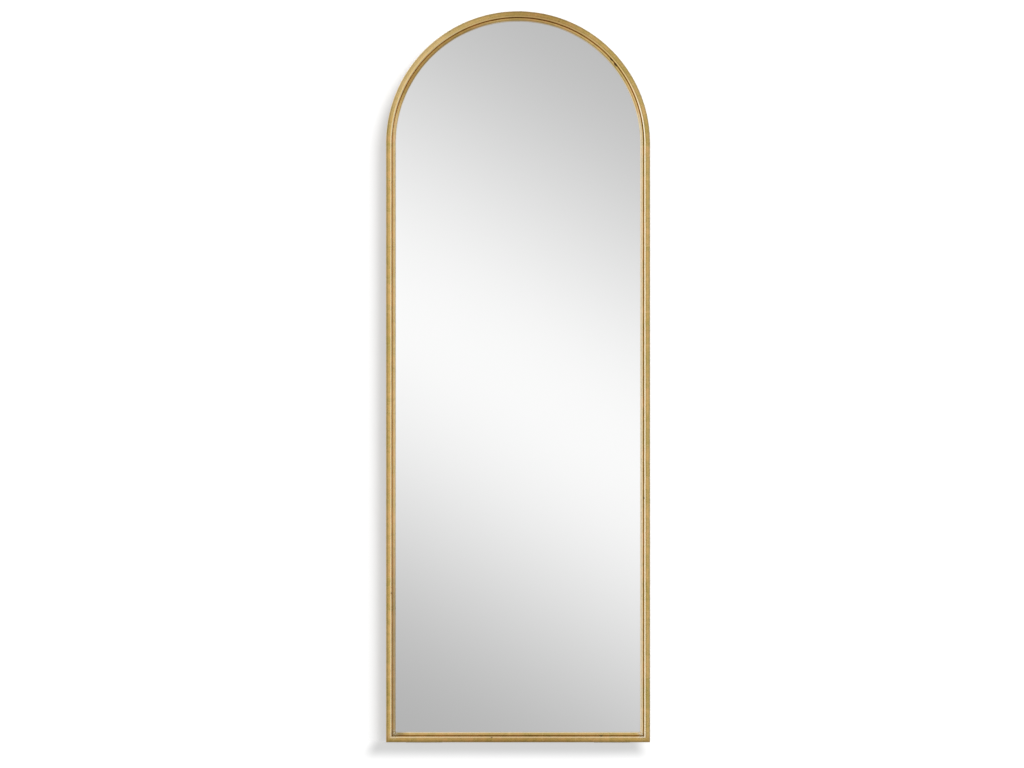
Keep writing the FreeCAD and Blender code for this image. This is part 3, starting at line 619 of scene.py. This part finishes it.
def member(name, kind, section, bead, node):
    p = section
    n2 = section_normals(p)
    length = {"left": SPRING, "right": SPRING, "bottom": 2 * R, "arch": math.pi * R}[kind]
    rings = int(length / 2.6)
    t = np.linspace(0.0, 1.0, rings + 1)
    T, K = np.meshgrid(t, np.arange(len(p)), indexing="ij")
    u, d = p[K, 0], p[K, 1]
    pos, eu, ed, along = place(kind, u.ravel(), d.ravel(), T.ravel())
    u, d = u.ravel(), d.ravel()
    nrm = eu * n2[K.ravel(), 0][:, None] + ed * n2[K.ravel(), 1][:, None]

    # nothing moves where members bear on each other, on the glass or on the back
    shown = 1.0 - smooth(7.2 if bead else 13.0, 10.0 if bead else 20.0, d)
    if bead:
        shown = shown * smooth(15.2, 16.6, u)
    else:
        shown = shown * (1.0 - smooth(13.4, 14.8, u))
    edge = smooth(0.0, 0.012, T.ravel()) * 0 + 1.0
    amp = 0.10 * noise3(pos, 46.0, 1) + 0.07 * noise3(pos, 15.0, 2) + 0.035 * noise3(pos, 5.0, 3)
    if bead:
        amp = amp + 0.13 * noise3(pos, 19.0, 4) + 0.05 * noise3(pos, 6.5, 5)
    else:
        crest = np.exp(-((u - 11.8) / 2.2) ** 2)
        amp = amp + crest * (0.14 * noise3(pos, 21.0, 6) + 0.05 * noise3(pos, 7.0, 7))
    # thick size and leaf gather in the mitred corners
    corner = np.zeros(len(pos))
    for sx in (-1, 1):
        c = np.array([sx * (R - 19.0), Y0 + 5.0, Z0 + 19.0])
        corner = np.maximum(corner, np.exp(-(((pos - c) / np.array([15.0, 40.0, 15.0])) ** 2).sum(1)))
    lumps = np.clip(noise3(pos, 3.4, 8) + 0.15, -0.3, 1.0)
    amp = amp + corner * (0.42 if bead else 0.20) * lumps
    pos = pos + nrm * (amp * shown * edge)[:, None]

    m = len(p)
    faces = []
    for i in range(rings):
        for j in range(m):
            a, b = i * m + j, i * m + (j + 1) % m
            faces.append((a, b, b + m, a + m))
    faces.append(tuple(range(m))[::-1])
    faces.append(tuple(rings * m + j for j in range(m)))
    # outward faces whichever way the sweep runs
    q = [pos[v] for v in faces[len(faces) // 2]]
    got = np.cross(np.array(q[1]) - np.array(q[0]), np.array(q[2]) - np.array(q[0]))
    if np.dot(got, nrm[faces[len(faces) // 2][0]]) < 0:
        faces = [f[::-1] for f in faces]
    ob = mesh_object(name, pos / 1000.0, faces, "frame", MATS["gold_leaf"], sharp=42)
    point_values(ob, "u_mm", u)
    point_values(ob, "d_mm", d)
    point_values(ob, "s_mm", along)
    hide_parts(node)
    return ob


HOOP, BEAD = hoop_section(), bead_section()
for name, kind, section, bead, node in (
        ("gilded_arch", "arch", HOOP, False, "frame_arch"),
        ("gilded_stile_left", "left", HOOP, False, "frame_stile_left"),
        ("gilded_stile_right", "right", HOOP, False, "frame_stile_right"),
        ("gilded_bottom_rail", "bottom", HOOP, False, "frame_bottom_rail"),
        ("gilded_bead_arch", "arch", BEAD, True, "bead_arch"),
        ("gilded_bead_left", "left", BEAD, True, "bead_left"),
        ("gilded_bead_right", "right", BEAD, True, "bead_right"),
        ("gilded_bead_bottom", "bottom", BEAD, True, "bead_bottom")):
    member(name, kind, section, bead, node)


# ------------------------------------------------------------------ the foam sheet behind the glass
def foam_piece():
    """Soft packing foam, cut to the glass, its cut edge slightly rounded and uneven."""
    lo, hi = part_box("foam_sheet")
    y0, y1 = lo.y * 1000, hi.y * 1000
    z0 = lo.z * 1000
    r = hi.x * 1000 - 0.4
    outline = []
    for x in np.arange(-r + 6, r - 5, 8.0):
        outline.append((x, z0 + 0.4, 0.0, -1.0))
    for z in np.arange(z0 + 6, SPRING, 8.0):
        outline.append((r, z, 1.0, 0.0))
    for a in np.linspace(0, math.pi, 120):
        outline.append((r * math.cos(a), SPRING + r * math.sin(a), math.cos(a), math.sin(a)))
    for z in np.arange(SPRING - 8.0, z0 + 5, -8.0):
        outline.append((-r, z, -1.0, 0.0))
    o = np.array(outline)
    prof = [(-0.9, y0 + 0.02), (-0.25, y0 + 0.5), (0.0, (y0 + y1) / 2), (-0.25, y1 - 0.5), (-0.9, y1 - 0.02)]
    verts, m = [], len(o)
    for inset, y in prof:
        base = np.stack([o[:, 0], np.full(m, y), o[:, 1]], 1)
        ragged = 0.18 * noise3(base, 7.0, 41) - 0.18
        verts.append(base + np.stack([o[:, 2], np.zeros(m), o[:, 3]], 1) * (inset + ragged)[:, None])
    v = np.concatenate(verts)
    faces = []
    for i in range(len(prof) - 1):
        for j in range(m):
            a, b = i * m + j, i * m + (j + 1) % m
            faces.append((a, a + m, b + m, b))
    faces.append(tuple(range(m)))
    faces.append(tuple((len(prof) - 1) * m + j for j in range(m))[::-1])
    ob = mesh_object("foam_cushion_sheet", v / 1000.0, faces, "frame", MATS["white_foam"], sharp=40)
    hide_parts("foam_sheet")
    return ob


foam_ob = foam_piece()

# ------------------------------------------------------------------ camera, straight on
cam_data = bpy.data.cameras.new("camera")
cam = bpy.data.objects.new("camera", cam_data)
bpy.context.scene.collection.objects.link(cam)
cam_data.lens = 85.0
cam_data.sensor_width = 36.0
cam.location = (-0.01514, Y0 / 1000.0 - 2.5609 * 85.0 / 36.0, 0.8977)
cam.rotation_euler = (math.radians(90), 0, 0)
bpy.context.scene.camera = cam

# ------------------------------------------------------------------ studio
scene = bpy.context.scene
scene.view_settings.view_transform = "Standard"
scene.view_settings.look = "None"


def studio_world():
    """White behind the object. What lights it, and what the glass and the leaf reflect, is a soft
    light-tent: a broad pale band in front, brighter to the left and overhead, darker low down."""
    w = bpy.data.worlds.new("studio")
    scene.world = w
    w.use_nodes = True
    w.node_tree.nodes.clear()
    k = Nodes(w.node_tree)
    out = k.new("ShaderNodeOutputWorld")
    direction = k.new("ShaderNodeTexCoord").outputs["Generated"]
    parts = k.new("ShaderNodeSeparateXYZ")
    k.put(parts.inputs[0], direction)
    x, y, z = parts.outputs
    ahead = k.math("MAXIMUM", k.math("MULTIPLY", y, -1.0), 0.05)
    sx, sz = k.math("DIVIDE", x, ahead), k.math("DIVIDE", z, ahead)
    band = k.math("ADD", sz, k.math("MULTIPLY", sx, 0.56))
    up = k.span(band, 0.0, 0.205, 1.0, 0.0)
    down = k.span(band, -0.195, 0.0, 0.0, 1.0)
    glow = k.math("MULTIPLY", k.math("POWER", k.math("MINIMUM", up, down), 1.22), 0.56)
    front = k.math("ADD", k.math("ADD", 0.48, k.span(band, 0.05, 0.24, 0.0, 0.05)), glow)
    # the rest of the tent: a large soft source at the left, a dim right, a moderate top, a dark floor
    def lobe(dx, dy, dz, wide, gain):
        dot = k.new("ShaderNodeVectorMath", operation="DOT_PRODUCT")
        k.put(dot.inputs[0], direction)
        dot.inputs[1].default_value = Vector((dx, dy, dz)).normalized()
        return k.span(dot.outputs["Value"], wide, 1.0, 0.0, gain)

    tent = k.math("ADD", 0.42, lobe(-1.0, 0.05, 0.12, 0.45, 0.80))
    tent = k.math("ADD", tent, lobe(0.62, -0.78, 0.10, 0.72, 0.55))
    tent = k.math("ADD", tent, lobe(-0.1, -0.25, 0.90, 0.20, 0.48))
    tent = k.math("ADD", tent, lobe(0.0, -0.45, -0.90, 0.35, 0.20))
    tent = k.math("ADD", tent, lobe(0.0, 1.0, 0.35, 0.10, 0.30))
    level = k.fmix(k.span(k.math("MULTIPLY", y, -1.0), 0.94, 0.985), tent, front)
    soft = k.new("ShaderNodeBackground")
    k.put(soft.inputs["Color"], (1.0, 1.0, 1.0))
    k.put(soft.inputs["Strength"], level)
    plain = k.new("ShaderNodeBackground")
    k.put(plain.inputs["Color"], (1.0, 1.0, 1.0))
    plain.inputs["Strength"].default_value = 1.05
    path = k.new("ShaderNodeLightPath")
    mixed = k.new("ShaderNodeMixShader")
    k.put(mixed.inputs[0], path.outputs["Is Camera Ray"])
    k.l.new(soft.outputs[0], mixed.inputs[1])
    k.l.new(plain.outputs[0], mixed.inputs[2])
    k.l.new(mixed.outputs[0], out.inputs[0])


studio_world()


def softbox(name, at, to, size, power, tint=(1, 1, 1)):
    data = bpy.data.lights.new(name, "AREA")
    data.shape = "RECTANGLE"
    data.size, data.size_y = size
    data.energy = power
    data.color = tint
    ob = bpy.data.objects.new(name, data)
    bpy.context.scene.collection.objects.link(ob)
    ob.location = at
    ob.rotation_euler = (Vector(to) - Vector(at)).to_track_quat("-Z", "Y").to_euler()
    ob.visible_camera = False
    ob.visible_glossy = False
    return ob


def stage_material(name, glow, albedo, one_sided, soft_shadow=0.0):
    m = bpy.data.materials.new(name)
    m.use_nodes = True
    m.node_tree.nodes.clear()
    k = Nodes(m.node_tree)
    out = k.new("ShaderNodeOutputMaterial")
    e = k.new("ShaderNodeEmission")
    k.put(e.inputs["Color"], (1.0, 1.0, 1.0))
    e.inputs["Strength"].default_value = glow
    if soft_shadow:
        # the soft shade that a tent of light leaves round the foot of a standing object
        at = k.new("ShaderNodeSeparateXYZ")
        k.put(at.inputs[0], k.coords())
        fx, fy, _ = at.outputs
        across = k.math("MULTIPLY", k.span(fx, -0.387, -0.344), k.span(fx, 0.283, 0.327, 1.0, 0.0))
        along = k.math("MULTIPLY", k.span(fy, -0.332, -0.092), k.span(fy, 0.03, 0.20, 1.0, 0.0))
        shade = k.math("SUBTRACT", 1.0, k.math("MULTIPLY", k.math("MULTIPLY", across, along), soft_shadow))
        k.put(e.inputs["Strength"], k.math("MULTIPLY", shade, glow))
    f = k.new("ShaderNodeBsdfDiffuse")
    k.put(f.inputs["Color"], (albedo, albedo, albedo))
    add = k.new("ShaderNodeAddShader")
    k.l.new(e.outputs[0], add.inputs[0])
    k.l.new(f.outputs[0], add.inputs[1])
    last = add.outputs[0]
    if one_sided:
        geo = k.new("ShaderNodeNewGeometry")
        clear = k.new("ShaderNodeBsdfTransparent")
        mixed = k.new("ShaderNodeMixShader")
        k.l.new(geo.outputs["Backfacing"], mixed.inputs[0])
        k.l.new(last, mixed.inputs[1])
        k.l.new(clear.outputs[0], mixed.inputs[2])
        last = mixed.outputs[0]
    k.l.new(last, out.inputs[0])
    return m


def stage_plane(name, corners, mat):
    me = bpy.data.meshes.new(name)
    me.from_pydata(corners, [], [(0, 1, 2, 3)])
    me.materials.append(mat)
    ob = bpy.data.objects.new(name, me)
    bpy.context.scene.collection.objects.link(ob)
    ob.visible_diffuse = ob.visible_glossy = ob.visible_transmission = ob.visible_shadow = False
    return ob


floor = stage_plane("floor", [(-6, -7, 0), (6, -7, 0), (6, 6, 0), (-6, 6, 0)], stage_material("pale_floor", 0.92, 0.14, False, 0.415))
wall = stage_plane("wall", [(-6, 0.0173, 0), (6, 0.0173, 0), (6, 0.0173, 5), (-6, 0.0173, 5)], stage_material("pale_wall", 0.385, 0.4, True))

softbox("key_left", (-2.6, -2.4, 1.7), (0, 0, 1.0), (1.0, 2.4), 9.0)
softbox("top", (-0.5, -1.6, 3.4), (0, 0, 1.2), (1.8, 1.2), 4.0)
softbox("right_fill", (2.8, -2.2, 1.3), (0, 0, 0.9), (0.7, 2.2), 2.5)
softbox("back_light", (1.4, 3.2, 2.6), (0, 0, 0.9), (2.0, 2.0), 90.0)

# a soft light that reaches only the wall, for the shadow there
def only_on(light, target):
    c = bpy.data.collections.new(light.name + "_on")
    c.objects.link(target)
    light.light_linking.receiver_collection = c


sun_data = bpy.data.lights.new("wall_sun", "SUN")
sun_data.energy, sun_data.angle = 7.2, math.radians(46)
sun = bpy.data.objects.new("wall_sun", sun_data)
scene.collection.objects.link(sun)
sun.rotation_euler = Vector((-1.32, 1.0, -1.32)).to_track_quat("-Z", "Y").to_euler()
only_on(sun, wall)
